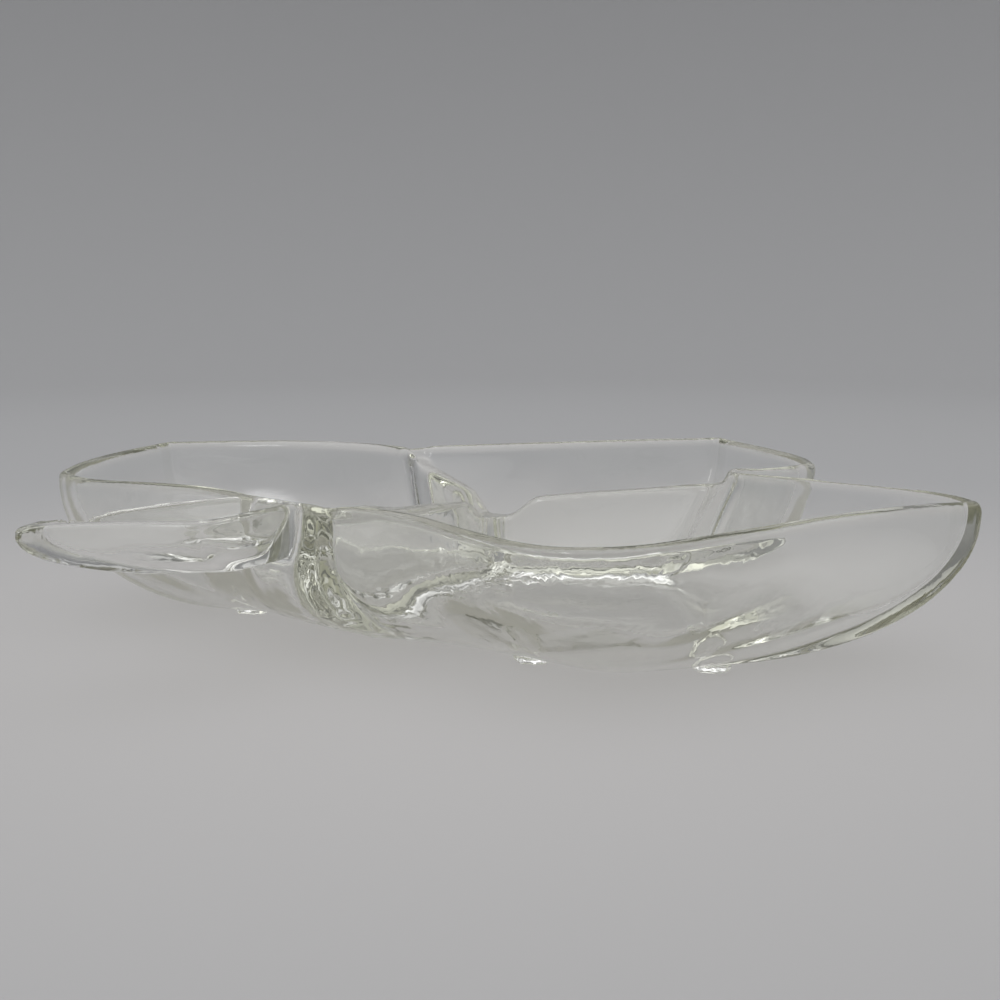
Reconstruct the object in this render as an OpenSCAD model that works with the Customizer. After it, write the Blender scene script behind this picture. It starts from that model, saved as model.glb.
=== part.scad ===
// Divided relish tray in clear pressed glass: three deep compartments round a low
// hub and one shallow wing. The moulding is drawn as named regions that meet face
// to face: wall panels, floors, dividers, hub and feet. The origin is the middle
// of the outline, on the surface that the feet stand on.

/* [Overall] */
// Length over the tips, along X
tray_l = 282; // [220:2:340]
// Width over the rims, along Y
tray_w = 201; // [170:1:240]
// Height of the rim above the table
rim_h = 50; // [42:1:60]
// How far the front rim dips in its middle
rim_sag = 3; // [0:0.5:5]

/* [Glass] */
// Thickness of a wall at the rim
rim_t = 4; // [3:0.25:5]
// Thickness of a wall where it meets the floor
heel_t = 6; // [5:0.25:8]
// Height of the rounded lip on the rim
lip_h = 1.4; // [0.6:0.1:2]
// Thickness of the floors
floor_t = 5; // [4:0.25:7]
// Height of the upright band below the rim
band_h = 3; // [2:0.5:6]

/* [Dividers] */
// Thickness of a divider
divider_t = 6; // [5:0.25:8]
// How far the divider tops lie below the rim beside a wall
divider_drop = 4.5; // [3:0.5:8]
// How much lower still the divider tops run beside the hub
divider_dip = 5.5; // [1:0.5:7]
// Height of the hub above the table
hub_h = 33; // [26:1:38]
// Length of hub from its middle to each divider
hub_r = 5; // [4:0.5:8]
// Length of the slope from each divider down to the hub
hub_slope_l = 12; // [8:0.5:16]

/* [Wing] */
// Depth of the wing bowl, rim to underside
wing_depth = 17; // [14:1:24]
// Height of the upright band below the wing's rim
wing_band_h = 1; // [0.5:0.25:3]
// Thickness of the wing floor
wing_floor_t = 4; // [3:0.25:5]
// Thickness of a wing wall where it meets the wing floor
wing_heel_t = 4.5; // [4:0.25:6]

/* [Feet] */
// Height of the foot nubs
foot_h = 3; // [2:0.25:4]
// Diameter of a foot nub at the table
foot_d = 8; // [6:0.25:10]
// How much wider a foot nub is where it joins the base
foot_flare = 1.5; // [0:0.25:2]
// Distance of a foot nub from the edge of the base
foot_inset = 6; // [5:0.5:8]

/* [Hidden] */
$fn = 40;
glass = [0.80, 0.86, 0.82, 0.5];
edge_glass = [0.62, 0.70, 0.60, 0.6];

base_z = foot_h;
floor_z = base_z + floor_t;
wing_z = rim_h - wing_depth;
plan = [tray_l / 2, tray_w / 2];

// Angle of the arc of an ellipse in a wall's section. At 90 the wall runs out level
// at the base, and along the front it meets the base at a slope.
wall_arc_a = 90;
front_arc_a = 70;
wing_arc_a = 40;

// Slices along each panel, and rings up each wall
slices = 10;
rings = 9;
// Share of a panel over which a wall's upright band grows towards the wing
ramp_share = 0.5;
ramp = slices * ramp_share;

// Plan of the rim, as shares of half the length and half the width
hub_share = [0, 0.244];
right_notch_share = [0.585, 0.158];
rear_notch_share = [-0.209, 0.752];
front_notch_share = [-0.365, -0.515];
front_tip_share = [1, -0.483];
front_bow_share = [0.163, -1];
rear_right_share = [0.624, 1];
right_tip_share = [0.78, 0.284];
rear_left_share = [-0.865, 0.871];
left_tip_share = [-1, 0.124];
wing_notch_share = [-0.518, -0.363];
wing_tip_share = [-0.872, -0.905];
wing_bow_share = [-0.546, -0.821];

// Plan of the base, in the same shares
front_tip_base_share = [0.504, -0.517];
front_bow_base_share = [0.241, -0.627];
rear_right_base_share = [0.39, 0.672];
right_tip_base_share = [0.489, 0.333];
rear_left_base_share = [-0.532, 0.632];
left_tip_base_share = [-0.617, 0.169];
wing_notch_base_share = [-0.365, 0.09];
wing_tip_base_share = [-0.705, -0.68];
wing_bow_base_share = [-0.5, -0.66];

// Place of the front left foot along its edge of the base
foot_place_share = 0.6;

// Hub to edge of base along each divider, as a share of hub to rim
right_base_reach_share = 0.66;
rear_base_reach_share = 0.5;
front_base_reach_share = 0.52;

// Pairs of handles that bend the rim from corner to corner, in the same shares
front_left_bend_shares = [[-0.16, -0.45], [-0.02, -1]];
front_right_bend_shares = [[0.4, -1], [0.72, -0.56]];
front_far_bend_shares = [[1, -0.12], [0.7, 0.02]];
right_near_bend_shares = [[0.64, 0.25], [0.7, 0.21]];
right_end_bend_shares = [[0.8, 0.55], [0.68, 0.76]];
rear_right_bend_shares = [[0.42, 0.98], [0, 0.82]];
rear_left_bend_shares = [[-0.36, 0.92], [-0.6, 0.94]];
left_end_bend_shares = [[-0.98, 0.55], [-1.01, 0.34]];
left_near_bend_shares = [[-0.93, -0.12], [-0.7, -0.02]];
wing_far_bend_shares = [[-0.66, -0.5], [-0.87, -0.62]];
wing_near_bend_shares = [[-0.78, -0.83], [-0.66, -0.81]];
wing_root_bend_shares = [[-0.5, -0.76], [-0.44, -0.62]];

function spot(share) = [share.x * plan.x, share.y * plan.y];
function spots(shares) = [for (s = shares) spot(s)];
function unit(v) = v / norm(v);
function left_of(v) = [-v.y, v.x];
function heading(a) = [cos(a), sin(a)];
function last(list) = list[len(list) - 1];

// Each divider runs from the hub to its notch in the rim: bearing, length to the
// rim, and length to the edge of the base
hub = spot(hub_share);
function bearing(share) = let (v = spot(share) - hub) atan2(v.y, v.x);
function reach_to(share) = norm(spot(share) - hub);
right_a = bearing(right_notch_share);
rear_a = bearing(rear_notch_share);
front_a = bearing(front_notch_share);
right_reach = reach_to(right_notch_share);
rear_reach = reach_to(rear_notch_share);
front_reach = reach_to(front_notch_share);
right_base_reach = right_reach * right_base_reach_share;
rear_base_reach = rear_reach * rear_base_reach_share;
front_base_reach = front_reach * front_base_reach_share;

// A point beside a divider: side is -1 on its clockwise face and 1 on the other
function beside(a, reach, side) =
    hub + reach * heading(a) + side * divider_t / 2 * left_of(heading(a));

function bend(p, q, handles, t) =
    pow(1 - t, 3) * p + 3 * pow(1 - t, 2) * t * handles[0]
    + 3 * (1 - t) * t * t * handles[1] + pow(t, 3) * q;
function thirds(p, q) = [p + (q - p) / 3, q - (q - p) / 3];

// A line runs from corner to corner, bent by one pair of handles to an edge
function line(corners, handles) = concat(
    [for (e = [0:len(handles) - 1], i = [0:slices - 1])
        bend(corners[e], corners[e + 1], handles[e], i / slices)],
    [last(corners)]);
function straight(corners) = [for (i = [0:len(corners) - 2]) thirds(corners[i], corners[i + 1])];

// Directions of an edge where it leaves its first corner and reaches its last
function leaving(corners, handles, e) = unit(handles[e][0] - corners[e]);
function reaching(corners, handles, e) = unit(corners[e + 1] - handles[e][1]);

// Corners moved inwards by d. The two ends slide along start and finish.
function inset_corners(corners, handles, d, start, finish) = [
    for (i = [0:len(corners) - 1])
        i == 0 ? corners[i] + d * start / (start * left_of(leaving(corners, handles, i)))
        : i == len(handles)
            ? corners[i] + d * finish / (finish * left_of(reaching(corners, handles, i - 1)))
        : let (back = reaching(corners, handles, i - 1), ahead = leaving(corners, handles, i))
            corners[i] + d * (left_of(back) + left_of(ahead)) / (1 + back * ahead)];

// Handles that bend the moved edges as the old ones were bent
function moved_handles(corners, handles, moved) = [
    for (e = [0:len(handles) - 1])
        let (ratio = norm(moved[e + 1] - moved[e]) / norm(corners[e + 1] - corners[e]))
        [moved[e] + ratio * (handles[e][0] - corners[e]),
            moved[e + 1] + ratio * (handles[e][1] - corners[e + 1])]];
function inset_line(corners, handles, d, start, finish) =
    let (moved = inset_corners(corners, handles, d, start, finish))
    line(moved, moved_handles(corners, handles, moved));

// Share of the way in from rim to base, and height, of each ring up a wall
function ring(k, top, band, arc, bottom) = k == rings ? [0, top]
    : let (a = arc * (1 - k / (rings - 1)))
        [(1 - cos(a)) / (1 - cos(arc)),
            top - band - (top - band - bottom) * sin(a) / sin(arc)];
function ring_point(k, rim, base, top, band, arc, bottom) =
    let (r = ring(k, top, band, arc, bottom)) [each (rim + (base - rim) * r.x), r.y];

// The lip over a wall's top: share of the wall, and share of the lip's height
lip_shares = [[0.15, 0.75], [0.5, 1], [0.85, 0.75]];

// One closed section through a wall: up the outside, over the lip and down inside
function section(rim, rim_in, base, base_in, top, band, arc, bottom, floor_top) = concat(
    [for (k = [0:rings]) ring_point(k, rim, base, top, band, arc, bottom)],
    [for (s = lip_shares) [each (rim + (rim_in - rim) * s.x), top + lip_h * s.y]],
    [for (k = [rings:-1:0]) ring_point(k, rim_in, base_in, top, band, arc, floor_top)],
    [[each base_in, bottom]]);

// A wall over slices first to final of its lines
module wall(w, first, final) {
    count = 2 * rings + 6;
    spans = final - first;
    lip = len(lip_shares);
    points = [for (i = [first:final]) each section(
        w[0][i], w[1][i], w[2][i], w[3][i], w[4][i], w[5][i], w[6][i], w[7], w[8])];
    skin = [for (i = [0:spans - 1], j = [0:count - 1])
        let (a = i * count + j, b = i * count + (j + 1) % count)
        each [[a, b, a + count], [b, b + count, a + count]]];
    end = concat(
        [for (k = [0:rings - 1])
            let (o = k, n = count - 2 - k) each [[o, o + 1, n], [n, o + 1, n - 1]]],
        [for (k = [0:lip - 1]) [rings + k, rings + k + 1, rings + lip + 1]],
        [[0, count - 2, count - 1]]);
    near_end = [for (f = end) [f[2], f[1], f[0]]];
    far_end = [for (f = end) [for (v = f) v + spans * count]];
    color(glass) polyhedron(points, concat(skin, near_end, far_end), convexity = 6);
}

// Height of each slice's wall under its lip, arc of its section, and height of its
// upright band
lip_z = rim_h - lip_h;
root_band_h = lip_z - wing_z;
function sagged(i) = lip_z - (i < 2 * slices ? rim_sag * sin(90 * i / slices) : 0);
function sloped(i) = wall_arc_a
    - (i < 2 * slices ? (wall_arc_a - front_arc_a) * (1 - pow(cos(90 * i / slices), 4)) : 0);
function even(value, panels) = [for (i = [0:panels * slices]) value];
function ramped(steps) = band_h + (root_band_h - band_h) * (1 + cos(180 * min(steps, ramp) / ramp)) / 2;

// Everything that a stretch of wall needs: rim and base lines with their inner
// twins, lip and band heights and arcs slice by slice, heel thickness and two depths
function stretch(rim, handles, base, start, finish, tops, bands, arcs, heel, bottom, floor_top) = [
    line(rim, handles), inset_line(rim, handles, rim_t, start, finish),
    line(base, straight(base)), inset_line(base, straight(base), heel, start, finish),
    tops, bands, arcs, bottom, floor_top];

// Corners of the walls anticlockwise, rim above and base below
front_base = [
    beside(front_a, front_base_reach, 1), spot(front_bow_base_share),
    spot(front_tip_base_share), beside(right_a, right_base_reach, -1)];
front = stretch(
    [beside(front_a, front_reach, 1), spot(front_bow_share), spot(front_tip_share),
        beside(right_a, right_reach, -1)],
    [spots(front_left_bend_shares), spots(front_right_bend_shares), spots(front_far_bend_shares)],
    front_base, -heading(front_a), -heading(right_a),
    [for (i = [0:3 * slices]) sagged(i)], [for (i = [0:3 * slices]) ramped(i)],
    [for (i = [0:3 * slices]) sloped(i)], heel_t, base_z, floor_z);

rear_right_base = [
    beside(right_a, right_base_reach, 1), spot(right_tip_base_share),
    spot(rear_right_base_share), beside(rear_a, rear_base_reach, -1)];
rear_right = stretch(
    [beside(right_a, right_reach, 1), spot(right_tip_share), spot(rear_right_share),
        beside(rear_a, rear_reach, -1)],
    [spots(right_near_bend_shares), spots(right_end_bend_shares), spots(rear_right_bend_shares)],
    rear_right_base, -heading(right_a), -heading(rear_a),
    even(lip_z, 3), even(band_h, 3), even(wall_arc_a, 3), heel_t, base_z, floor_z);

wing_root = [spot(wing_notch_share), beside(front_a, front_reach, -1)];
rear_left_base = [
    beside(rear_a, rear_base_reach, 1), spot(rear_left_base_share), spot(left_tip_base_share),
    spot(wing_notch_base_share), beside(front_a, front_base_reach, -1)];
rear_left = stretch(
    [beside(rear_a, rear_reach, 1), spot(rear_left_share), spot(left_tip_share), each wing_root],
    [spots(rear_left_bend_shares), spots(left_end_bend_shares), spots(left_near_bend_shares),
        thirds(wing_root[0], wing_root[1])],
    rear_left_base, -heading(rear_a), -heading(front_a),
    even(lip_z, 4), [for (i = [0:4 * slices]) ramped(max(0, 3 * slices - i))],
    even(wall_arc_a, 4), heel_t, base_z, floor_z);

// The wing hangs on the flat outer face of the wall between its two notches
wing_run = unit(wing_root[1] - wing_root[0]);
wing_base = [
    wing_root[0] + rim_t * wing_run, spot(wing_tip_base_share),
    spot(wing_bow_base_share), wing_root[1] - rim_t * wing_run];
wing = stretch(
    [wing_root[0], spot(wing_tip_share), spot(wing_bow_share), wing_root[1]],
    [spots(wing_far_bend_shares), spots(wing_near_bend_shares), spots(wing_root_bend_shares)],
    wing_base, wing_run, -wing_run,
    even(lip_z, 3), even(wing_band_h, 3), even(wing_arc_a, 3), wing_heel_t, wing_z, wing_z + wing_floor_t);

// Middle of the outline, which the whole tray is drawn about
outline = concat(front[0], rear_right[0], rear_left[0], wing[0]);
xs = [for (p = outline) p.x];
ys = [for (p = outline) p.y];
middle = [(min(xs) + max(xs)) / 2, (min(ys) + max(ys)) / 2];

module placed() translate([-middle.x, -middle.y, 0]) children();

// A floor inside a stretch of wall, closed by the hub's edge
module floor_plate(w, from_a, to_a)
    color(glass) translate([0, 0, base_z]) linear_extrude(floor_t)
        polygon(concat([beside(from_a, hub_r, 1)], w[3], [beside(to_a, hub_r, -1)]));

module wing_floor()
    color(glass) translate([0, 0, wing_z]) linear_extrude(wing_floor_t) polygon(wing[3]);

// An upright plate from the hub to the rim, drawn as its side view
module divider(a, reach, base_reach, band) {
    top = rim_h - divider_drop;
    low = top - divider_dip;
    inner_end = hub_r + hub_slope_l;
    wall_end = reach - rim_t;
    profile = concat(
        [[hub_r, base_z]],
        [for (k = [0:rings])
            let (r = ring(k, lip_z, band, wall_arc_a, base_z))
            [reach + (base_reach - reach) * r.x, r.y]],
        [for (s = lip_shares) [reach - rim_t * s.x, lip_z + lip_h * s.y]],
        [[wall_end, lip_z]],
        [for (i = [0:slices])
            [wall_end + (inner_end - wall_end) * i / slices, top - divider_dip * i / slices]],
        [for (i = [1:slices])
            [inner_end - hub_slope_l * i / slices, low - (low - hub_h) * (1 - cos(180 * i / slices)) / 2]]);
    color(edge_glass) translate([hub.x, hub.y, 0]) rotate([0, 0, a]) rotate([90, 0, 0])
        linear_extrude(divider_t, center = true) polygon(profile);
}

module hub_block()
    color(edge_glass) translate([0, 0, base_z]) linear_extrude(hub_h - base_z)
        polygon([for (a = [right_a, rear_a, front_a], side = [-1, 1]) beside(a, hub_r, side)]);

// A nub under the base, set in from slice i of a base line between two dividers
module foot(base, from_a, to_a, i) {
    at = inset_line(base, straight(base), foot_inset, -heading(from_a), -heading(to_a))[i];
    color(edge_glass) translate([at.x, at.y, 0])
        cylinder(h = foot_h, d1 = foot_d, d2 = foot_d + foot_flare);
}

placed() wall(front, 0, slices);  // front_left_wall
placed() wall(front, slices, 2 * slices);  // front_right_wall
placed() wall(front, 2 * slices, 3 * slices);  // front_far_wall
placed() wall(rear_right, 0, slices);  // right_near_wall
placed() wall(rear_right, slices, 2 * slices);  // right_end_wall
placed() wall(rear_right, 2 * slices, 3 * slices);  // rear_right_wall
placed() wall(rear_left, 0, slices);  // rear_left_wall
placed() wall(rear_left, slices, 2 * slices);  // left_end_wall
placed() wall(rear_left, 2 * slices, 3 * slices);  // left_near_wall
placed() wall(rear_left, 3 * slices, 4 * slices);  // wing_root_wall
placed() wall(wing, 0, slices);  // wing_far_wall
placed() wall(wing, slices, 2 * slices);  // wing_tip_wall
placed() wall(wing, 2 * slices, 3 * slices);  // wing_near_wall
placed() floor_plate(front, front_a, right_a);  // front_floor
placed() floor_plate(rear_right, right_a, rear_a);  // rear_right_floor
placed() floor_plate(rear_left, rear_a, front_a);  // rear_left_floor
placed() wing_floor();
placed() divider(right_a, right_reach, right_base_reach, band_h);  // right_divider
placed() divider(rear_a, rear_reach, rear_base_reach, band_h);  // rear_divider
placed() divider(front_a, front_reach, front_base_reach, root_band_h);  // front_divider
placed() hub_block();  // hub
placed() foot(front_base, front_a, right_a, slices * foot_place_share);  // front_left_foot
placed() foot(front_base, front_a, right_a, 2 * slices);  // front_right_foot
placed() foot(rear_right_base, right_a, rear_a, 2 * slices);  // rear_right_foot
placed() foot(rear_left_base, rear_a, front_a, slices);  // rear_left_foot
placed() foot(rear_left_base, rear_a, front_a, 2 * slices);  // left_foot
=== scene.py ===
# Looks for the divided relish tray: one continuous body of clear pressed glass on a
# pale grey sweep. Sizes of the tray and the camera's place are millimetres in the CAD
# frame, and those of the stage and the glass's ripples are metres.
import math

import bmesh
import bpy
import numpy as np
import openvdb
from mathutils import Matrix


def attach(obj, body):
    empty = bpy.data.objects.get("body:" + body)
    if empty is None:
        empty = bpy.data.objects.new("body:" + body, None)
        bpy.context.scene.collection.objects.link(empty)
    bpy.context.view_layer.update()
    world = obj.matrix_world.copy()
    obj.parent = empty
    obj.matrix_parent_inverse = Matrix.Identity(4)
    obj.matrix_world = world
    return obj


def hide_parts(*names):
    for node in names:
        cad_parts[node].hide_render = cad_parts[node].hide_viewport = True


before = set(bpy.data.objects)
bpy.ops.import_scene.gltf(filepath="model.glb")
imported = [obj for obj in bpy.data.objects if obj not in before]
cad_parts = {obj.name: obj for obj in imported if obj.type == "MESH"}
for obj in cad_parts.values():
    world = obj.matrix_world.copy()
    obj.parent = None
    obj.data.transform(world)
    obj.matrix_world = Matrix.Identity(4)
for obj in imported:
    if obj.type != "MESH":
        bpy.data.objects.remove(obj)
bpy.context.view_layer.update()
print("frame loaded")

mm = 0.001

# Camera, at the photograph's viewing angle
camera = {"place": (3.0, -471.5, 121.9), "tilt": 80.4, "lens": 54.14, "sensor": 36, "near": 0.01}


def makeCamera(c):
    data = bpy.data.cameras.new("camera")
    data.lens = c["lens"]
    data.sensor_width = c["sensor"]
    data.clip_start = c["near"]
    obj = bpy.data.objects.new("camera", data)
    obj.location = [v * mm for v in c["place"]]
    obj.rotation_euler = (math.radians(c["tilt"]), 0, 0)
    bpy.context.scene.collection.objects.link(obj)
    bpy.context.scene.camera = obj


makeCamera(camera)
print("camera placed")

# The tray's sizes, as in the CAD
tray = {
    "length": 282, "width": 201, "rim": 50, "sag": 3,
    "rimThick": 4, "heelThick": 6, "floorThick": 5, "band": 3, "lip": 1.4,
    "divider": 6, "dividerDrop": 4.5, "dividerDip": 5.5,
    "hub": 33, "hubReach": 5, "hubSlope": 12,
    "wingDepth": 17, "wingBand": 1, "wingFloor": 4, "wingHeel": 4.5,
    "foot": 3, "footInset": 6,
    "wallArc": 90, "frontArc": 70, "wingArc": 40,
    "cadSlices": 10, "ramp": 0.5,
}
# How finely the glass is shaped, and how soft the pressing left its edges
pressing = {
    "slices": 40, "rings": 28,
    "pitch": 0.8,  # spacing of the grid
    "reach": 6,  # cells on each side of a surface that know their distance to it
    "margin": 5,  # spare cells round the tray
    "over": 8,  # how far a plunger stands above the rim
    "tail": 2.5,  # spreads that an average takes in on each side
    "mouldSoft": 0.65, "plungerSoft": 2.3, "wingPlungerSoft": 1.4, "troughSoft": 1.0,
    "upperSoft": 1.0, "upperFrom": 16, "upperTo": 28,  # crisper corners this far above the table
    "wingJoin": 0.9, "plungerJoin": 2.2, "wallJoin": 1.0, "footJoin": 0.4, "last": 0.5,
    "lipRound": 3.2, "wingLip": 1.6,  # how round the rims of the bowls and of the wing are
    "lipShift": 4,  # the stretch over which one rim's roundness turns into the other's
    "hubWide": 1.2,  # width of the trough over the hub, in widths of a divider
    "evenOut": 7, "evenIn": 12,  # slices over which the corners of the base are rounded
    "tipEven": 9,  # slices over which the rear right tip is rounded below its rim
    "tipDeep": 12,  # how far down that rounding is complete
}
# Leans of the pressed faces: how far they go, the powers of the depth and of what is left
# of it that they follow, and the share of a wall's edge that they spread along
leans = {
    # A divider's faces by the floor, and the wing's root by the wing's floor
    "dividerFace": {"most": 2.4, "power": 1.5, "fade": 0, "spread": 0.4},
    "wingRoot": {"most": 8.0, "power": 1.5, "fade": 0, "spread": 0.5},
    # The front divider's outer end by the base, and the front bowl beside that end
    "frontEnd": {"most": 8.0, "power": 0.8, "fade": 0, "spread": 0.9},
    "frontNotch": {"most": 3.0, "power": 0, "fade": 0, "spread": 0.5},
    # The other dividers' outer ends, which draw in by a quarter of this half way down
    "otherEnds": {"most": 28.0, "power": 1, "fade": 1, "spread": 0.7},
}
# The dip of the rim's top: how far it spreads from the front bow, how far in front of the
# middle it starts, and how softly
dips = {"wide": 52, "from": 38, "soft": 9}
# Slight unevenness that the moulding left in the glass
waves = {"count": 14, "seed": 7, "long": 46, "short": 16, "inside": 0.11, "outside": 0.05}
# Rougher glass low down along the front divider
grain = {"count": 18, "seed": 11, "long": 10, "short": 5, "depth": 0.25, "wide": 17, "high": 16}

# Corners of the plan, as shares of half the length and half the width
rimPlan = {
    "hub": (0, 0.244), "rightNotch": (0.585, 0.158),
    "rearNotch": (-0.209, 0.752), "frontNotch": (-0.365, -0.515),
    "frontTip": (1, -0.483), "frontBow": (0.163, -1),
    "rearRight": (0.624, 1), "rightTip": (0.78, 0.284),
    "rearLeft": (-0.865, 0.871), "leftTip": (-1, 0.124),
    "wingNotch": (-0.518, -0.363), "wingTip": (-0.872, -0.905), "wingBow": (-0.546, -0.821),
}
basePlan = {
    "frontTip": (0.504, -0.517), "frontBow": (0.241, -0.627),
    "rearRight": (0.39, 0.672), "rightTip": (0.489, 0.333),
    "rearLeft": (-0.532, 0.632), "leftTip": (-0.617, 0.169),
    "wingNotch": (-0.365, 0.09), "wingTip": (-0.705, -0.68), "wingBow": (-0.5, -0.66),
}
baseReach = {"right": 0.66, "rear": 0.5, "front": 0.52}
rimBends = {
    "frontLeft": ((-0.16, -0.45), (-0.02, -1)), "frontRight": ((0.4, -1), (0.72, -0.56)),
    "frontFar": ((1, -0.12), (0.7, 0.02)), "rightNear": ((0.64, 0.25), (0.7, 0.21)),
    "rightEnd": ((0.8, 0.55), (0.68, 0.76)), "rearRight": ((0.42, 0.98), (0, 0.82)),
    "rearLeft": ((-0.36, 0.92), (-0.6, 0.94)), "leftEnd": ((-0.98, 0.55), (-1.01, 0.34)),
    "leftNear": ((-0.93, -0.12), (-0.7, -0.02)), "wingFar": ((-0.66, -0.5), (-0.87, -0.62)),
    "wingNear": ((-0.78, -0.83), (-0.66, -0.81)), "wingRoot": ((-0.5, -0.76), (-0.44, -0.62)),
}

slices, rings = pressing["slices"], pressing["rings"]
lipZ = tray["rim"] - tray["lip"]
baseZ = tray["foot"]
floorZ = baseZ + tray["floorThick"]
wingZ = tray["rim"] - tray["wingDepth"]
overZ = tray["rim"] + pressing["over"]
bandZ = {"low": tray["band"], "root": lipZ - wingZ}


def spot(share):
    return np.array(share, float) * (tray["length"] / 2, tray["width"] / 2)


def spots(names):
    return [tuple(spot(s) for s in rimBends[n]) for n in names]


def leftOf(v):
    return np.array([-v[1], v[0]])


def unit(v):
    return v / np.linalg.norm(v)


hub = spot(rimPlan["hub"])
dividers = {}
for name, share in baseReach.items():
    run = spot(rimPlan[name + "Notch"]) - hub
    dividers[name] = {"way": unit(run), "reach": np.linalg.norm(run)}
    dividers[name]["baseReach"] = share * dividers[name]["reach"]


def beside(name, reach, side):
    # A point on one face of a divider
    way = dividers[name]["way"]
    return hub + reach * way + side * tray["divider"] / 2 * leftOf(way)


def bentLine(corners, handles, count):
    points = []
    for p, q, (a, b) in zip(corners, corners[1:], handles):
        for t in np.arange(count) / count:
            points.append((1 - t) ** 3 * p + 3 * (1 - t) ** 2 * t * a
                          + 3 * (1 - t) * t * t * b + t ** 3 * q)
    return np.array(points + [corners[-1]])


def thirds(corners):
    return [(p + (q - p) / 3, q - (q - p) / 3) for p, q in zip(corners, corners[1:])]


def insetLine(corners, handles, d, start, finish, count):
    # The line moved inwards by d, its ends sliding along start and finish
    last = len(handles)
    moved = []
    for i, corner in enumerate(corners):
        back = unit(corner - handles[i - 1][1]) if i else None
        ahead = unit(handles[i][0] - corner) if i < last else None
        if i == 0:
            moved.append(corner + d * start / (start @ leftOf(ahead)))
        elif i == last:
            moved.append(corner + d * finish / (finish @ leftOf(back)))
        else:
            moved.append(corner + d * (leftOf(back) + leftOf(ahead)) / (1 + back @ ahead))
    bends = []
    for e, (a, b) in enumerate(handles):
        ratio = (np.linalg.norm(moved[e + 1] - moved[e])
                 / np.linalg.norm(corners[e + 1] - corners[e]))
        bends.append((moved[e] + ratio * (a - corners[e]),
                      moved[e + 1] + ratio * (b - corners[e + 1])))
    return bentLine(moved, bends, count)


def ramped(steps):
    # Height of the upright band, which grows to the wing's depth beside the wing
    ramp = tray["ramp"]
    share = (1 + math.cos(math.pi * min(steps / slices, ramp) / ramp)) / 2
    return bandZ["low"] + (bandZ["root"] - bandZ["low"]) * share


def sloped(i):
    # Arc of the front wall's section, which meets the base at a slope in its middle
    share = 1 - math.cos(math.pi / 2 * i / slices) ** 4 if i < 2 * slices else 0
    return tray["wallArc"] - (tray["wallArc"] - tray["frontArc"]) * share


# Each stretch of wall: its rim and base, anticlockwise, and where its ends slide
frontWay, rightWay, rearWay = (dividers[n]["way"] for n in ("front", "right", "rear"))
wingRoot = [spot(rimPlan["wingNotch"]), beside("front", dividers["front"]["reach"], -1)]
wingRun = unit(wingRoot[1] - wingRoot[0])
stretches = {
    "front": {
        "rim": [beside("front", dividers["front"]["reach"], 1), spot(rimPlan["frontBow"]),
                spot(rimPlan["frontTip"]), beside("right", dividers["right"]["reach"], -1)],
        "bends": spots(["frontLeft", "frontRight", "frontFar"]),
        "base": [beside("front", dividers["front"]["baseReach"], 1), spot(basePlan["frontBow"]),
                 spot(basePlan["frontTip"]), beside("right", dividers["right"]["baseReach"], -1)],
        "start": -frontWay, "finish": -rightWay,
        "bands": [ramped(i) for i in range(3 * slices + 1)],
        "arcs": [sloped(i) for i in range(3 * slices + 1)],
        "bottom": baseZ, "top": floorZ, "heel": tray["heelThick"], "ends": ("front", "right"),
    },
    "rearRight": {
        "rim": [beside("right", dividers["right"]["reach"], 1), spot(rimPlan["rightTip"]),
                spot(rimPlan["rearRight"]), beside("rear", dividers["rear"]["reach"], -1)],
        "bends": spots(["rightNear", "rightEnd", "rearRight"]),
        "base": [beside("right", dividers["right"]["baseReach"], 1), spot(basePlan["rightTip"]),
                 spot(basePlan["rearRight"]), beside("rear", dividers["rear"]["baseReach"], -1)],
        "start": -rightWay, "finish": -rearWay,
        "bands": [bandZ["low"]] * (3 * slices + 1),
        "arcs": [tray["wallArc"]] * (3 * slices + 1),
        "bottom": baseZ, "top": floorZ, "heel": tray["heelThick"], "ends": ("right", "rear"),
    },
    "rearLeft": {
        "rim": [beside("rear", dividers["rear"]["reach"], 1), spot(rimPlan["rearLeft"]),
                spot(rimPlan["leftTip"])] + wingRoot,
        "bends": spots(["rearLeft", "leftEnd", "leftNear"]) + thirds(wingRoot),
        "base": [beside("rear", dividers["rear"]["baseReach"], 1), spot(basePlan["rearLeft"]),
                 spot(basePlan["leftTip"]), spot(basePlan["wingNotch"]),
                 beside("front", dividers["front"]["baseReach"], -1)],
        "start": -rearWay, "finish": -frontWay,
        "bands": [ramped(max(0, 3 * slices - i)) for i in range(4 * slices + 1)],
        "arcs": [tray["wallArc"]] * (4 * slices + 1),
        "bottom": baseZ, "top": floorZ, "heel": tray["heelThick"], "ends": ("rear", "front"),
    },
    "wing": {
        "rim": [wingRoot[0], spot(rimPlan["wingTip"]), spot(rimPlan["wingBow"]), wingRoot[1]],
        "bends": spots(["wingFar", "wingNear", "wingRoot"]),
        "base": [wingRoot[0] + tray["rimThick"] * wingRun, spot(basePlan["wingTip"]),
                 spot(basePlan["wingBow"]), wingRoot[1] - tray["rimThick"] * wingRun],
        "start": wingRun, "finish": -wingRun,
        "bands": [tray["wingBand"]] * (3 * slices + 1),
        "arcs": [tray["wingArc"]] * (3 * slices + 1),
        "bottom": wingZ, "top": wingZ + tray["wingFloor"], "heel": tray["wingHeel"],
        "ends": None,
    },
}


def evened(line, count):
    # The line with its corners rounded and its ends kept
    padded = np.vstack([2 * line[0] - line[count:0:-1], line,
                        2 * line[-1] - line[-2:-count - 2:-1]])
    return sum(padded[k:k + len(line)] for k in range(2 * count + 1)) / (2 * count + 1)


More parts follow.
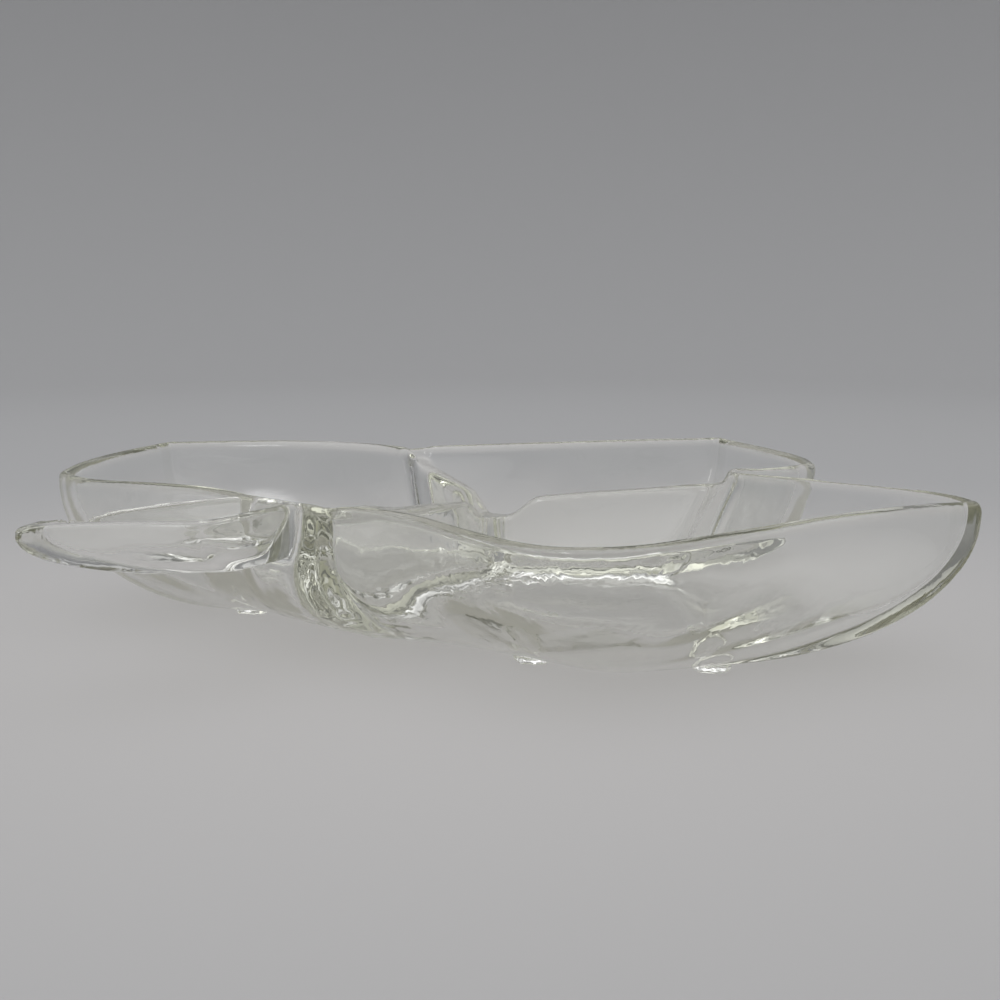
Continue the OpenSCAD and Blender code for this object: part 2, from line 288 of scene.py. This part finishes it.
for s in stretches.values():
    s["out"] = bentLine(s["rim"], s["bends"], slices)
    s["in"] = insetLine(s["rim"], s["bends"], tray["rimThick"], s["start"], s["finish"], slices)
    s["baseOut"] = bentLine(s["base"], thirds(s["base"]), slices)
    s["baseIn"] = insetLine(s["base"], thirds(s["base"]), s["heel"],
                            s["start"], s["finish"], slices)
    s["baseOut"] = evened(s["baseOut"], pressing["evenOut"])
    s["baseIn"] = evened(s["baseIn"], pressing["evenIn"])

# The CAD draws the tray about the middle of its outline, so the glass is moved there too
outline = np.concatenate(
    [bentLine(s["rim"], s["bends"], tray["cadSlices"]) for s in stretches.values()])
middle = (outline.min(0) + outline.max(0)) / 2


def wallColumn(rim, base, band, arc, bottom):
    # One line up a wall: an arc of an ellipse, then upright past the rim
    a = np.radians(arc * (1 - np.arange(rings) / (rings - 1)))
    inward = ((1 - np.cos(a)) / (1 - np.cos(a[0])))[:, None]
    z = lipZ - band - (lipZ - band - bottom) * np.sin(a) / np.sin(a[0])
    points = np.column_stack([rim + (base - rim) * inward, z])
    return np.vstack([points, [*rim, overZ]])


def leaned(columns, way, lean, bottom):
    # Columns moved sideways with depth, the first most and those after it less
    spread = lean["spread"] * slices
    for i, column in enumerate(columns):
        near = max(0, 1 - i / spread)
        deep = np.clip((tray["rim"] - column[:, 2]) / (tray["rim"] - bottom), 0, 1)
        share = near * near * (3 - 2 * near) * deep ** lean["power"] * (1 - deep) ** lean["fade"]
        column[:, :2] += lean["most"] * share[:, None] * way


def drawnIn(columns, s, bottom):
    # The outer ends of the right and rear dividers slope in more steadily than the walls
    for run, end in zip((columns, columns[::-1]), s["ends"] or ()):
        if end != "front":
            leaned(run, -dividers[end]["way"], leans["otherEnds"], bottom)


def tipRounded(columns, s):
    # The rear right bowl's outer tip is sharp at the rim alone
    if s is not stretches["rearRight"]:
        return
    lines = np.array([column[:, :2].ravel() for column in columns])
    even = evened(lines, pressing["tipEven"]).reshape(len(columns), -1, 2)
    for i, column in enumerate(columns):
        near = math.exp(-((i - slices) / pressing["tipEven"]) ** 2)
        deep = np.clip((tray["rim"] - column[:, 2]) / pressing["tipDeep"], 0, 1)[:, None]
        column[:, :2] += near * deep * (even[i] - column[:, :2])


def outerColumns(s):
    columns = [wallColumn(s["out"][i], s["baseOut"][i], s["bands"][i], s["arcs"][i], s["bottom"])
               for i in range(len(s["out"]))]
    tipRounded(columns, s)
    drawnIn(columns, s, baseZ)
    if s is stretches["rearLeft"]:
        leaned(columns[::-1], -leftOf(frontWay), leans["frontEnd"], baseZ)
    return columns


def innerColumns(s):
    columns = [wallColumn(s["in"][i], s["baseIn"][i], s["bands"][i], s["arcs"][i], s["top"])
               for i in range(len(s["in"]))]
    if not s["ends"]:
        for run in (columns, columns[::-1]):
            leaned(run, -leftOf(wingRun), leans["wingRoot"], s["top"])
        return columns
    tipRounded(columns, s)
    drawnIn(columns, s, s["top"])
    if s is stretches["rearLeft"]:
        leaned(columns[::-1], -leftOf(frontWay), leans["frontEnd"], s["top"])
    first, last = columns[0].copy(), columns[-1].copy()
    first[:, :2] = beside(s["ends"][0], tray["hubReach"], 1)
    last[:, :2] = beside(s["ends"][1], tray["hubReach"], -1)
    columns = [first] + columns + [last]
    if s is stretches["front"]:
        leaned(columns[1:], frontWay, leans["frontNotch"], s["top"])
    for run, end, side in ((columns, s["ends"][0], 1), (columns[::-1], s["ends"][1], -1)):
        leaned(run, side * leftOf(dividers[end]["way"]), leans["dividerFace"], s["top"])
    return columns


def closedMesh(columns):
    # A closed skin from upright columns in a ring, with flat ends
    bm = bmesh.new()
    rows = [[bm.verts.new(p) for p in column] for column in columns]
    for a, b in zip(rows, rows[1:] + rows[:1]):
        for k in range(len(a) - 1):
            bm.faces.new((a[k], b[k], b[k + 1], a[k + 1]))
    bm.faces.new([row[0] for row in reversed(rows)])
    bm.faces.new([row[-1] for row in rows])
    return bm


def plate(profile, name, wide):
    # A side view of (distance from the hub, height) as an upright plate along a divider
    bm = bmesh.new()
    way = dividers[name]["way"]
    faces = []
    for side in (-1, 1):
        flat = [hub + r * way + side * wide / 2 * leftOf(way) for r, z in profile]
        faces.append([bm.verts.new((*p, z)) for p, (r, z) in zip(flat, profile)])
    near, far = faces
    for i in range(len(near)):
        j = (i + 1) % len(near)
        bm.faces.new((near[i], near[j], far[j], far[i]))
    bm.faces.new(list(reversed(near)))
    bm.faces.new(far)
    return bm


# The grid that the glass is shaped in
pitch = pressing["pitch"]
low = np.array([outline[:, 0].min(), outline[:, 1].min(), 0])
high = np.array([outline[:, 0].max(), outline[:, 1].max(), tray["rim"]])
gridFrom = np.floor(low / pitch).astype(int) - pressing["margin"]
gridSize = np.ceil(high / pitch).astype(int) + pressing["margin"] - gridFrom
farAway = pitch * pressing["reach"]


def distances(bm):
    # Distance from a closed mesh at each grid point, negative inside
    bmesh.ops.triangulate(bm, faces=bm.faces[:])
    points = np.array([v.co[:] for v in bm.verts], np.float32)
    bm.verts.index_update()
    corners = np.array([[v.index for v in f.verts] for f in bm.faces], np.uint32)
    bm.free()
    grid = openvdb.FloatGrid.createLevelSetFromPolygons(
        points, triangles=corners, halfWidth=float(pressing["reach"]),
        transform=openvdb.createLinearTransform(voxelSize=pitch))
    field = np.zeros(gridSize, np.float32)
    grid.copyToArray(field, ijk=tuple(int(v) for v in gridFrom))
    return field


def softened(field, spread):
    # The field averaged over its neighbours, which rounds every edge of the shape
    size = spread / pitch
    reach = max(1, math.ceil(pressing["tail"] * size))
    offsets = np.arange(-reach, reach + 1)
    weights = np.exp(-(offsets / size) ** 2 / 2)
    weights /= weights.sum()
    for axis in range(3):
        padded = np.pad(field, [(reach, reach) if a == axis else (0, 0) for a in range(3)], "edge")
        total = np.zeros_like(field)
        for start, weight in enumerate(weights):
            part = [slice(None)] * 3
            part[axis] = slice(start, start + field.shape[axis])
            total += np.float32(weight) * padded[tuple(part)]
        field = total
    return field


def joined(a, b, soft):
    # Union of two shapes with a fillet
    blend = np.maximum(soft - np.abs(a - b), 0)
    return np.minimum(a, b) - blend * blend / (4 * soft)


def both(a, b, soft):
    # What two shapes share, with its edge rounded
    return -joined(-a, -b, soft)


gridX, gridY, gridZ = (
    ((gridFrom[a] + np.arange(gridSize[a])) * pitch).astype(np.float32).reshape(
        [-1 if a == b else 1 for b in range(3)]) for a in range(3))


def wavy(w, seed):
    # A smooth random field between about -1 and 1
    dice = np.random.default_rng(seed)
    total = 0
    for _ in range(w["count"]):
        way = unit(dice.normal(size=3))
        turn = 2 * math.pi / dice.uniform(w["short"], w["long"])
        total = total + np.sin(turn * (gridX * way[0] + gridY * way[1] + gridZ * way[2])
                               + dice.uniform(0, 2 * math.pi)).astype(np.float32)
    return total / math.sqrt(w["count"] / 2)


def nearLine(start, way, reach, wide):
    # 1 on an upright sheet over a line in the plan, falling to 0 away from it
    along = np.clip((gridX - start[0]) * way[0] + (gridY - start[1]) * way[1], 0, reach)
    dx, dy = gridX - start[0] - along * way[0], gridY - start[1] - along * way[1]
    return np.exp(-(dx * dx + dy * dy) / wide ** 2)


# The mould: outside of the three deep compartments, then the wing
mainColumns = [c for n in ("front", "rearRight", "rearLeft") for c in outerColumns(stretches[n])]
mould = softened(distances(closedMesh(mainColumns)), pressing["mouldSoft"])
wingMould = softened(distances(closedMesh(outerColumns(stretches["wing"]))), pressing["mouldSoft"])
glass = joined(mould, wingMould, pressing["wingJoin"])
glass += waves["outside"] * wavy(waves, waves["seed"])
grained = (nearLine(hub, frontWay, dividers["front"]["reach"], grain["wide"])
           * np.exp(-(gridZ / grain["high"]) ** 2))
glass += grain["depth"] * grained * wavy(grain, grain["seed"])
print("mould shaped")

# The plungers press the compartments
upperSpan = pressing["upperTo"] - pressing["upperFrom"]
upper = np.clip((gridZ - pressing["upperFrom"]) / upperSpan, 0, 1)
plungers = None
for name, s in stretches.items():
    sharp = distances(closedMesh(innerColumns(s)))
    if name == "wing":
        plunger = softened(sharp, pressing["wingPlungerSoft"])
    else:
        plunger = softened(sharp, pressing["plungerSoft"])
        plunger += upper * (softened(sharp, pressing["upperSoft"]) - plunger)
    plungers = plunger if plungers is None else np.minimum(plungers, plunger)

# The troughs set the tops of the dividers and the hub
dividerTop = tray["rim"] - tray["dividerDrop"]
dividerLow = dividerTop - tray["dividerDip"]
slopeEnd = tray["hubReach"] + tray["hubSlope"]
trough = None
for name, d in dividers.items():
    wallEnd = d["reach"] - tray["rimThick"]
    t = np.arange(slices + 1) / slices
    profile = [(wallEnd, overZ)]
    profile += [(wallEnd + (slopeEnd - wallEnd) * v,
                 dividerTop - tray["dividerDip"] * v) for v in t]
    profile += [(slopeEnd - tray["hubSlope"] * v,
                 dividerLow - (dividerLow - tray["hub"]) * (1 - math.cos(math.pi * v)) / 2)
                for v in t[1:]]
    profile += [(0, tray["hub"]), (0, overZ)]
    part = distances(plate(profile, name, tray["divider"] + pitch))
    trough = part if trough is None else np.minimum(trough, part)
hubTop = [[(*beside(name, tray["hubReach"] + pitch, side * pressing["hubWide"]), z)
           for z in (tray["hub"], overZ)] for name in dividers for side in (-1, 1)]
trough = np.minimum(trough, distances(closedMesh(hubTop)))
trough = softened(trough, pressing["troughSoft"])
plungers = joined(plungers, trough, pressing["plungerJoin"])
plungers += waves["inside"] * wavy(waves, waves["seed"] + 1)
print("plungers shaped")

# The plungers come out of the mould, and the rim is rounded
bow = spot(rimPlan["frontBow"])
dip = (np.exp(-(((gridX - bow[0]) / dips["wide"]) ** 2))
       / (1 + np.exp((gridY + dips["from"]) / dips["soft"])))
rimTop = gridZ - (tray["rim"] - tray["sag"] * dip)
glass = both(glass, -plungers, pressing["wallJoin"])
onWing = np.clip((mould - wingMould) / pressing["lipShift"] + 0.5, 0, 1)
lip = pressing["lipRound"] + (pressing["wingLip"] - pressing["lipRound"]) * onWing
glass = both(glass, rimTop, lip)
print("rim rounded")


def skinOf(field, name):
    # The surface where the field is zero, as a smooth mesh in the CAD frame
    grid = openvdb.FloatGrid(farAway)
    grid.copyFromArray(field, ijk=tuple(int(v) for v in gridFrom))
    grid.transform = openvdb.createLinearTransform(voxelSize=pitch)
    points, quads = grid.convertToQuads(0.0)
    points = (points - (middle[0], middle[1], 0)) * mm
    mesh = bpy.data.meshes.new(name)
    mesh.from_pydata(points.tolist(), [], quads.tolist())
    mesh.validate()
    mesh.shade_smooth()
    obj = bpy.data.objects.new(name, mesh)
    bpy.context.scene.collection.objects.link(obj)
    bm = bmesh.new()
    bm.from_mesh(mesh)
    bmesh.ops.recalc_face_normals(bm, faces=bm.faces[:])
    bm.to_mesh(mesh)
    bm.free()
    print(name, len(quads), "faces")
    return obj


# Feet: round nubs with small moulded facets. Each runs outwards from its place in the CAD,
# the front ones away from a place behind the hub and the others away from the middle
nub = {"wide": 12.5, "high": 6.0, "round": 0.4, "out": 1.0, "frontFrom": (0.07, 0.2),
       "facets": 1.8, "around": 13, "up": 3.0, "hollows": 0.9, "apart": 3.2}
feet = {
    "front_left_foot": ("front", 0.6), "front_right_foot": ("front", 2),
    "rear_right_foot": ("rearRight", 2), "rear_left_foot": ("rearLeft", 1),
    "left_foot": ("rearLeft", 2),
}
for name, (stretch, place) in feet.items():
    s = stretches[stretch]
    line = insetLine(s["base"], thirds(s["base"]), tray["footInset"],
                     s["start"], s["finish"], tray["cadSlices"])
    at = line[int(place * tray["cadSlices"])]
    source = nub["frontFrom"] if stretch == "front" else (0, 0)
    run = nub["out"] * unit(at - np.array(source) * (tray["length"], tray["width"]))
    t = np.clip(((gridX - at[0]) * run[0] + (gridY - at[1]) * run[1]) / (run @ run), 0, 1)
    dx, dy = gridX - at[0] - t * run[0], gridY - at[1] - t * run[1]
    facets = nub["facets"] * np.abs(np.sin(np.arctan2(dy, dx) * nub["around"] / 2)
                                    * np.cos(math.pi * gridZ / nub["up"]))
    hollows = nub["hollows"] * np.abs(np.sin(math.pi * dx / nub["apart"])
                                      * np.sin(math.pi * dy / nub["apart"]))
    stub = both(np.sqrt(dx * dx + dy * dy) - nub["wide"] / 2 + facets,
                np.maximum(hollows - gridZ, gridZ - nub["high"]), nub["round"])
    stub = both(stub, -plungers, nub["round"])
    glass = joined(glass, np.broadcast_to(stub, glass.shape), pressing["footJoin"])
print("feet added")
glass = softened(glass, pressing["last"])

body = skinOf(glass, "glass_body")


def makeGlass(name, look):
    mat = bpy.data.materials.new(name)
    mat.use_nodes = True
    nodes, links = mat.node_tree.nodes, mat.node_tree.links
    nodes.clear()
    shader = nodes.new("ShaderNodeBsdfPrincipled")
    shader.inputs["Base Color"].default_value = look["colour"]
    shader.inputs["Roughness"].default_value = look["rough"]
    shader.inputs["IOR"].default_value = look["ior"]
    shader.inputs["Transmission Weight"].default_value = 1
    # Faint ripples and fine grain that the mould left on the surface
    place = nodes.new("ShaderNodeTexCoord")
    ripple = nodes.new("ShaderNodeTexNoise")
    ripple.inputs["Scale"].default_value = look["ripples"]
    ripple.inputs["Detail"].default_value = look["detail"]
    ripple.inputs["Roughness"].default_value = look["fine"]
    ripple.inputs["Distortion"].default_value = look["swirl"]
    bump = nodes.new("ShaderNodeBump")
    bump.inputs["Distance"].default_value = look["depth"]
    links.new(place.outputs["Object"], ripple.inputs["Vector"])
    links.new(ripple.outputs["Fac"], bump.inputs["Height"])
    links.new(bump.outputs["Normal"], shader.inputs["Normal"])
    clear = nodes.new("ShaderNodeBsdfTransparent")
    clear.inputs["Color"].default_value = look["shadow"]
    spent = nodes.new("ShaderNodeBsdfTransparent")
    spent.inputs["Color"].default_value = look["spent"]
    rays = nodes.new("ShaderNodeLightPath")
    # Light from the lamps and off the table passes straight through, and so does light
    # that has bounced about inside for long, which would otherwise end as black
    trapped = nodes.new("ShaderNodeMath")
    trapped.operation = "GREATER_THAN"
    trapped.inputs[1].default_value = look["escape"]
    straight = nodes.new("ShaderNodeMath")
    straight.operation = "MAXIMUM"
    links.new(rays.outputs["Ray Depth"], trapped.inputs[0])
    links.new(rays.outputs["Is Shadow Ray"], straight.inputs[0])
    links.new(rays.outputs["Is Diffuse Ray"], straight.inputs[1])
    inner = nodes.new("ShaderNodeMixShader")
    mix = nodes.new("ShaderNodeMixShader")
    depth = nodes.new("ShaderNodeVolumeAbsorption")
    depth.inputs["Color"].default_value = look["tint"]
    depth.inputs["Density"].default_value = look["density"]
    out = nodes.new("ShaderNodeOutputMaterial")
    links.new(trapped.outputs["Value"], inner.inputs["Fac"])
    links.new(shader.outputs["BSDF"], inner.inputs[1])
    links.new(spent.outputs["BSDF"], inner.inputs[2])
    links.new(straight.outputs["Value"], mix.inputs["Fac"])
    links.new(inner.outputs["Shader"], mix.inputs[1])
    links.new(clear.outputs["BSDF"], mix.inputs[2])
    links.new(mix.outputs["Shader"], out.inputs["Surface"])
    links.new(depth.outputs["Volume"], out.inputs["Volume"])
    return mat


clearGlass = makeGlass("clear_glass", {
    "colour": (0.985, 0.988, 0.98, 1), "rough": 0.0, "ior": 1.51, "shadow": (0.93, 0.93, 0.925, 1),
    "spent": (0.87, 0.87, 0.82, 1), "tint": (0.73, 0.74, 0.64, 1), "density": 8.5, "escape": 7.5,
    "ripples": 110, "detail": 2.5, "fine": 0.45, "swirl": 0.6, "depth": 0.00008,
})
body.data.materials.append(clearGlass)
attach(body, "root")
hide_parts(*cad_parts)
print("glass finished")

# A pale grey sweep that rises all round the table
# The paper's colour is lighter near the tray and darker far off, painted shade where less light falls
sweep = {"middle": 0.4, "flat": 0.9, "bend": 0.5, "rise": 0.15, "steps": 24, "around": 96,
         "table": (0.575, 0.562, 0.557, 1), "farShade": (0.442, 0.443, 0.451, 1),
         "from": 0.02, "to": 0.42, "rough": 0.9, "specular": 0.1}


def makeSweep(s):
    profile = [(s["flat"] * s["middle"], 0.0), (s["flat"], 0.0)]
    for i in range(1, s["steps"] + 1):
        a = math.pi / 2 * i / s["steps"]
        profile.append((s["flat"] + s["bend"] * math.sin(a), s["bend"] * (1 - math.cos(a))))
    profile.append((s["flat"] + s["bend"], s["bend"] + s["rise"]))
    bm = bmesh.new()
    centre = bm.verts.new((0, 0, 0))
    rows = []
    for r, z in profile:
        rows.append([bm.verts.new((r * math.cos(a), r * math.sin(a), z))
                     for a in np.arange(s["around"]) * 2 * math.pi / s["around"]])
    for i in range(s["around"]):
        j = (i + 1) % s["around"]
        bm.faces.new((centre, rows[0][i], rows[0][j]))
        for a, b in zip(rows, rows[1:]):
            bm.faces.new((a[i], b[i], b[j], a[j]))
    mesh = bpy.data.meshes.new("sweep")
    bm.to_mesh(mesh)
    bm.free()
    mesh.shade_smooth()
    mat = bpy.data.materials.new("sweep_paper")
    mat.use_nodes = True
    paper = mat.node_tree.nodes["Principled BSDF"]
    paper.inputs["Roughness"].default_value = s["rough"]
    paper.inputs["Specular IOR Level"].default_value = s["specular"]
    # The paper's colour darkens away from the tray: painted shade, standing in for the light falling
    # off with distance
    nodes, links = mat.node_tree.nodes, mat.node_tree.links
    place = nodes.new("ShaderNodeTexCoord")
    away = nodes.new("ShaderNodeVectorMath")
    away.operation = "LENGTH"
    share = nodes.new("ShaderNodeMapRange")
    share.interpolation_type = "SMOOTHSTEP"
    share.inputs["From Min"].default_value = s["from"]
    share.inputs["From Max"].default_value = s["to"]
    tone = nodes.new("ShaderNodeMix")
    tone.data_type = "RGBA"
    tone.inputs["A"].default_value = s["table"]
    tone.inputs["B"].default_value = s["farShade"]
    links.new(place.outputs["Object"], away.inputs[0])
    links.new(away.outputs["Value"], share.inputs["Value"])
    links.new(share.outputs["Result"], tone.inputs["Factor"])
    links.new(tone.outputs["Result"], paper.inputs["Base Color"])
    mesh.materials.append(mat)
    obj = bpy.data.objects.new("sweep", mesh)
    bpy.context.scene.collection.objects.link(obj)


makeSweep(sweep)
print("sweep laid")

# Soft studio light
lamps = {
    "overhead": {"place": (0.0, 0.1, 1.35), "aim": (0, 0, 0), "size": 2.2, "power": 13.5, "soft": 0.45},
    "front": {"place": (-0.5, -1.1, 0.9), "aim": (0, 0, 0.03), "size": 0.6, "power": 4.6, "soft": 0.4},
}


def softEdge(data, width):
    # The lamp fades out towards its edges
    data.use_nodes = True
    nodes, links = data.node_tree.nodes, data.node_tree.links
    glow = nodes["Emission"]
    place = nodes.new("ShaderNodeNewGeometry")
    parts = nodes.new("ShaderNodeSeparateXYZ")
    links.new(place.outputs["Parametric"], parts.inputs[0])
    fades = []
    half = 0.5
    for axis in ("X", "Y"):
        centred = nodes.new("ShaderNodeMath")
        centred.operation = "SUBTRACT"
        centred.inputs[1].default_value = half
        off = nodes.new("ShaderNodeMath")
        off.operation = "ABSOLUTE"
        fade = nodes.new("ShaderNodeMapRange")
        fade.interpolation_type = "SMOOTHSTEP"
        fade.inputs["From Min"].default_value = half
        fade.inputs["From Max"].default_value = half - width
        links.new(parts.outputs[axis], centred.inputs[0])
        links.new(centred.outputs["Value"], off.inputs[0])
        links.new(off.outputs["Value"], fade.inputs["Value"])
        fades.append(fade)
    overall = nodes.new("ShaderNodeMath")
    overall.operation = "MULTIPLY"
    for k, fade in enumerate(fades):
        links.new(fade.outputs["Result"], overall.inputs[k])
    links.new(overall.outputs["Value"], glow.inputs["Strength"])


for name, lamp in lamps.items():
    data = bpy.data.lights.new(name, "AREA")
    data.shape = "SQUARE"
    data.size = lamp["size"]
    data.energy = lamp["power"]
    softEdge(data, lamp["soft"])
    obj = bpy.data.objects.new(name, data)
    obj.location = lamp["place"]
    aim = np.array(lamp["aim"]) - np.array(lamp["place"])
    obj.rotation_euler = (math.atan2(math.hypot(aim[0], aim[1]), -aim[2]), 0,
                          math.atan2(aim[1], aim[0]) - math.pi / 2)
    bpy.context.scene.collection.objects.link(obj)
print("lamps placed")

# The room is lighter overhead than at the sides
room = {"low": (0.40, 0.402, 0.406, 1), "high": (0.77, 0.772, 0.775, 1), "from": 0.25, "to": 0.8}


def makeWorld(r):
    world = bpy.data.worlds.new("studio")
    bpy.context.scene.world = world
    world.use_nodes = True
    nodes, links = world.node_tree.nodes, world.node_tree.links
    place = nodes.new("ShaderNodeTexCoord")
    parts = nodes.new("ShaderNodeSeparateXYZ")
    share = nodes.new("ShaderNodeMapRange")
    share.interpolation_type = "SMOOTHSTEP"
    share.inputs["From Min"].default_value = r["from"]
    share.inputs["From Max"].default_value = r["to"]
    tone = nodes.new("ShaderNodeMix")
    tone.data_type = "RGBA"
    tone.inputs["A"].default_value = r["low"]
    tone.inputs["B"].default_value = r["high"]
    links.new(place.outputs["Generated"], parts.inputs[0])
    links.new(parts.outputs["Z"], share.inputs["Value"])
    links.new(share.outputs["Result"], tone.inputs["Factor"])
    links.new(tone.outputs["Result"], nodes["Background"].inputs["Color"])


makeWorld(room)

# Enough bounces for light to find its way out of the thick edges
bounces = {"max_bounces": 18, "glossy_bounces": 14, "transmission_bounces": 18}
for name, count in bounces.items():
    setattr(bpy.context.scene.cycles, name, count)

view = bpy.context.scene.view_settings
view.view_transform = "Standard"

print("scene ready")
